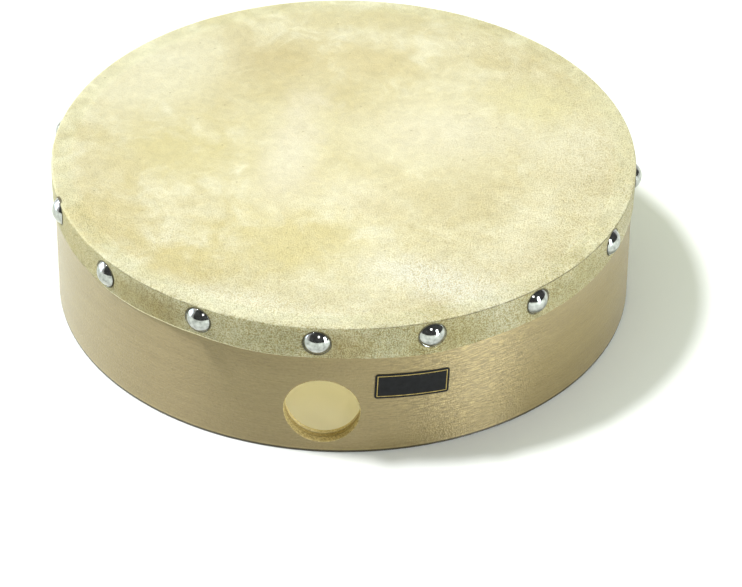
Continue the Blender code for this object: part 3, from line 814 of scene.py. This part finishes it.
def shapeSkin(piece):
    face, radius, crease = skin["face"], skin["radius"], skin["crease"]
    top = face - crease
    for vert in piece.data.vertices:
        r, z = math.hypot(vert.co.x, vert.co.y) / mm, vert.co.z / mm
        turn = turnOf(vert.co)
        place = Vector(vert.co) / mm
        waver = skin["waver"] * noise.noise(place / skin["waverSize"])
        if z > top + skin["slack"]:  # the playing face, a little cockled where it dried
            calm = min(1, (radius - r) / skin["cockleFade"])
            z += skin["cockle"] * noise.noise(place / skin["cockleSize"]) * calm
            r += waver * max(0, 1 - (radius - r) / skin["waverReach"])
        else:
            down = (top - z) / (top - face + skin["lap"])
            z = top - down * (top - trimmedEdge(turn))
            off, tackHeight = nearTack(turn)
            away = math.hypot(off, z - tackHeight)
            r -= skin["dimple"] * math.exp(-(away / skin["dimpleReach"]) ** 6)
            free = 0.5 - 0.5 * math.cos(2 * math.pi * min(1, abs(off) / skin["liftSpan"]))
            held = skin["liftAtTack"] + (1 - skin["liftAtTack"]) * free
            uneven = skin["liftMiddle"] + skin["liftNoise"] * noise.noise(place / skin["liftSize"])
            r += skin["lift"] * down ** 2 * held * uneven
            ripple = skin["ripple"] * noise.noise(place / skin["rippleSize"])
            r += (ripple + waver) * min(1, skin["lapWaver"] + down)
            for foldTurn, foldZ, long, wide, rise, slant in skin["folds"]:
                x, y, a = pastMark(turn, foldTurn), z - foldZ, math.radians(slant)
                u, v = x * math.cos(a) + y * math.sin(a), y * math.cos(a) - x * math.sin(a)
                bowed = v - skin["foldBow"] * u * u / long
                r += rise * math.exp(-(u / long) ** 2 - (bowed / wide) ** 2)
        vert.co = roundDrum(turn, r, z)


# where each point lies from its nearest tack, laid flat: u beside it, v above the middle of the chart
def chartTacks(piece):
    for layer in list(piece.data.uv_layers):
        piece.data.uv_layers.remove(layer)
    places = []
    for vert in piece.data.vertices:
        r, z = math.hypot(vert.co.x, vert.co.y) / mm, vert.co.z / mm
        off, tackHeight = nearTack(turnOf(vert.co))
        inward = skin["radius"] - r if r < skin["radius"] - skin["crease"] else 0
        places.append((abs(off) / chartWidth, (z + inward - tackHeight) / chartWidth + 0.5))
    chart = piece.data.uv_layers.new(name="tackChart")
    for loop in piece.data.loops:
        chart.data[loop.index].uv = places[loop.vertex_index]


hide = traceProfile("rawhideHead", skinProfile())
spinProfile(skin["steps"])
shapeSkin(hide)
chartTacks(hide)
hide.data.materials.append(rawhideSkin("goat rawhide scraped and dried"))
hide.data.materials.append(fleshSide("rawhide flesh side"))
hide.data.materials.append(cutRawhide("rawhide knife cut edge"))
applyModifier(
    hide, "SOLIDIFY", thickness=skin["thickness"] * mm, offset=-1, use_even_offset=True,
    material_offset=1, material_offset_rim=2,
)
# the knife was held slanting, so the flesh side is left longer and the pale cut shows below the grain
for vert in hide.data.vertices:
    r, turn = math.hypot(vert.co.x, vert.co.y) / mm, turnOf(vert.co)
    edge = trimmedEdge(turn)
    down = max(0, 1 - (vert.co.z / mm - edge) / (skin["lap"] - skin["crease"]))
    if r > skin["radius"] - skin["outerBand"]:  # skived thinner towards the edge
        vert.co = roundDrum(turn, r - skin["skive"] * down ** 3, vert.co.z / mm)
    elif vert.co.z / mm < edge + skin["edgeBand"]:
        slant = skin["cutSlant"] * math.exp(-((turn - skin["cutTurn"]) / skin["cutReach"]) ** 2)
        vert.co.z -= (skin["cutLeast"] + slant) * mm
smoothBelow(hide, skin["smooth"])
handIn(hide, "hide", "skin_head")
print("rawhide", len(hide.data.polygons), "faces")


# the stuck-on label, wrapped round the side

label = {
    "width": 32, "height": 12.5, "thickness": 0.3, "corner": 1.2, "cornerSteps": 5, "cuts": 24, "smooth": 40,
    "turn": 17.2, "middle": 34, "tilt": -2.4, "back": 127.03,
}

bpy.ops.object.select_all(action="DESELECT")
bpy.ops.mesh.primitive_plane_add(size=1, rotation=(math.radians(90), 0, 0))
sticker = bpy.context.active_object
sticker.name = sticker.data.name = "sideSticker"
bpy.ops.transform.resize(value=(label["width"] * mm, 1, label["height"] * mm))
bpy.ops.object.transform_apply(location=True, rotation=True, scale=True)
bpy.ops.object.mode_set(mode="EDIT")
bpy.ops.mesh.select_all(action="SELECT")
bpy.ops.mesh.bevel(offset=label["corner"] * mm, segments=label["cornerSteps"], affect="VERTICES")
for i in range(1, label["cuts"]):  # cuts across, so that it can bend round the shell
    cutX = (i / label["cuts"] - 0.5) * label["width"] * mm
    bpy.ops.mesh.select_all(action="SELECT")
    bpy.ops.mesh.bisect(plane_co=(cutX, 0, 0), plane_no=(1, 0, 0))
bpy.ops.object.mode_set(mode="OBJECT")
for layer in list(sticker.data.uv_layers):
    sticker.data.uv_layers.remove(layer)
flatMap = sticker.data.uv_layers.new(name="flat")
for loop in sticker.data.loops:
    at = sticker.data.vertices[loop.vertex_index].co / mm
    flatMap.data[loop.index].uv = (at.x / label["width"] + 0.5, at.z / label["height"] + 0.5)
tilt = math.radians(label["tilt"])
for vert in sticker.data.vertices:
    x, z = vert.co.x / mm, vert.co.z / mm
    x, z = x * math.cos(tilt) - z * math.sin(tilt), x * math.sin(tilt) + z * math.cos(tilt)
    vert.co = roundDrum(label["turn"] + math.degrees(x / label["back"]), label["back"], label["middle"] + z)
applyModifier(sticker, "SOLIDIFY", thickness=label["thickness"] * mm, offset=1)
sticker.data.materials.append(printedVinyl("printed black vinyl", label["width"], label["height"]))
smoothBelow(sticker, label["smooth"])
handIn(sticker, "label_vinyl", "side_label")
print("label", len(sticker.data.polygons), "faces")


# floor, light and camera

studio = {
    "floorSize": 24, "tooth": 300, "paper": [(0.3, "#F2F2F0"), (0.7, "#F6F6F4")],
    "white": 1.0, "whiteColour": "#FFFFFF", "sky": 1.23, "skyColour": "#F6FFDF",
    "room": 0.1, "roomTowards": ((0.12, -0.90, 0.42), (0.72, -0.55, 0.42)), "roomFade": (0.25, 0.5),
    "aimHeight": 0.03, "lens": 181.995, "sensor": 36, "clip": (0.05, 60),
    "eye": (0.09341, -1.36056, 0.98821), "pan": 3.4, "downwards": 36.196, "roll": 0.623,
}
# power in watts, or the sun's strength; distance and sizes in metres
lamps = [
    {
        "name": "keyLamp", "kind": "SUN", "power": 2.76, "far": 3, "from": (-35.7, 4.1, 66),
        "colour": "#F8FBFF", "shape": {"angle": math.radians(9)},
    },
    {
        "name": "stripSoftbox", "kind": "AREA", "power": 2.38, "far": 0.6, "from": (0.76, -0.645, 0.2),
        "colour": "#ECF5FB", "shape": {"shape": "RECTANGLE", "size": 0.13, "size_y": 0.34},
    },
    {
        "name": "fillReflector", "kind": "AREA", "power": 15.0, "far": 1.5, "from": (-0.97, 0.19, 0.18),
        "colour": "#D6E8FF", "shape": {"size": 1.2},
    },
    {
        "name": "frontSoftbox", "kind": "AREA", "power": 3.0, "far": 2.0, "from": (0.17, -0.72, 0.67),
        "colour": "#FFFFFF", "shape": {"size": 0.4},
    },
]

# Paper, matt white, hung as a sweep: it only takes the soft shadow, and from below it is clear.
bpy.ops.object.select_all(action="DESELECT")
bpy.ops.mesh.primitive_plane_add(size=studio["floorSize"])
floor = bpy.context.active_object
floor.name = "studioFloor"
paper, tree, place = newMaterial("matt white paper sweep")
tooth = addNode(tree, "TexNoise", {}, {"Vector": place, "Scale": metre / studio["tooth"], "Detail": 2})
white = addNode(tree, "ValToRGB", {}, {"Fac": tooth}, studio["paper"])
sheet = addNode(tree, "BsdfDiffuse", {}, {"Color": white})
clear = addNode(tree, "BsdfTransparent")
below = addNode(tree, "NewGeometry").outputs["Backfacing"]
oneSided = addNode(tree, "MixShader", {}, {0: below, 1: sheet, 2: clear})
addNode(tree, "OutputMaterial", {}, {"Surface": oneSided})
floor.data.materials.append(paper)

# a white sweep behind and at the sides and a dim room in front; the camera and mirrors see the sweep
# plain white
world = bpy.data.worlds.new("studio")
scene.world = world
world.use_nodes = True
tree = world.node_tree
tree.nodes.clear()
direction = addNode(tree, "TexCoord").outputs["Generated"]
towards = []
for way in studio["roomTowards"]:
    way = Vector(way).normalized()
    towards.append(addNode(tree, "VectorMath", {"operation": "DOT_PRODUCT"}, {0: direction, 1: way}))
nearest = addNode(tree, "Math", largest, {0: towards[0], 1: towards[1]})
inRoom = addNode(tree, "MapRange", smoothStep, {
    "Value": nearest, "From Min": studio["roomFade"][0], "From Max": studio["roomFade"][1],
})
ray = addNode(tree, "LightPath")
mirrored = addNode(tree, "Math", largest, {
    0: ray.outputs["Is Glossy Ray"], 1: ray.outputs["Is Transmission Ray"],
})
shown = addNode(tree, "Math", largest, {0: mirrored, 1: ray.outputs["Is Camera Ray"]})
behind = addNode(tree, "Mix", {}, {0: shown, 2: studio["sky"], 3: studio["white"]})
lit = addNode(tree, "Mix", {}, {0: inRoom, 2: behind, 3: studio["room"]})
strength = addNode(tree, "Mix", {}, {0: ray.outputs["Is Camera Ray"], 2: lit, 3: studio["white"]})
tinge = addNode(tree, "Mix", mixColour, {
    0: shown, 6: hexToLinear(studio["skyColour"]), 7: hexToLinear(studio["whiteColour"]),
})
back = addNode(tree, "Background", {}, {"Color": tinge, "Strength": strength})
addNode(tree, "OutputWorld", {}, {"Surface": back})

for lamp in lamps:
    light = bpy.data.objects.new(lamp["name"], bpy.data.lights.new(lamp["name"], lamp["kind"]))
    scene.collection.objects.link(light)
    light.data.energy = lamp["power"]
    light.data.color = hexToLinear(lamp["colour"])[:3]
    for key, value in lamp["shape"].items():
        setattr(light.data, key, value)
    light.location = Vector(lamp["from"]).normalized() * lamp["far"] + Vector((0, 0, studio["aimHeight"]))
    light.rotation_euler = Vector(lamp["from"]).to_track_quat("Z", "Y").to_euler()
    light.visible_camera = False

camera = bpy.data.objects.new("camera", bpy.data.cameras.new("camera"))
scene.collection.objects.link(camera)
camera.data.lens, camera.data.sensor_width = studio["lens"], studio["sensor"]
camera.data.clip_start, camera.data.clip_end = studio["clip"]
camera.location = studio["eye"]
pan = Matrix.Rotation(math.radians(studio["pan"]), 3, "Z")
pitch = Matrix.Rotation(math.radians(90 - studio["downwards"]), 3, "X")
roll = Matrix.Rotation(math.radians(studio["roll"]), 3, "Z")
camera.rotation_euler = (pan @ pitch @ roll).to_euler()
scene.camera = camera
print("studio ready")
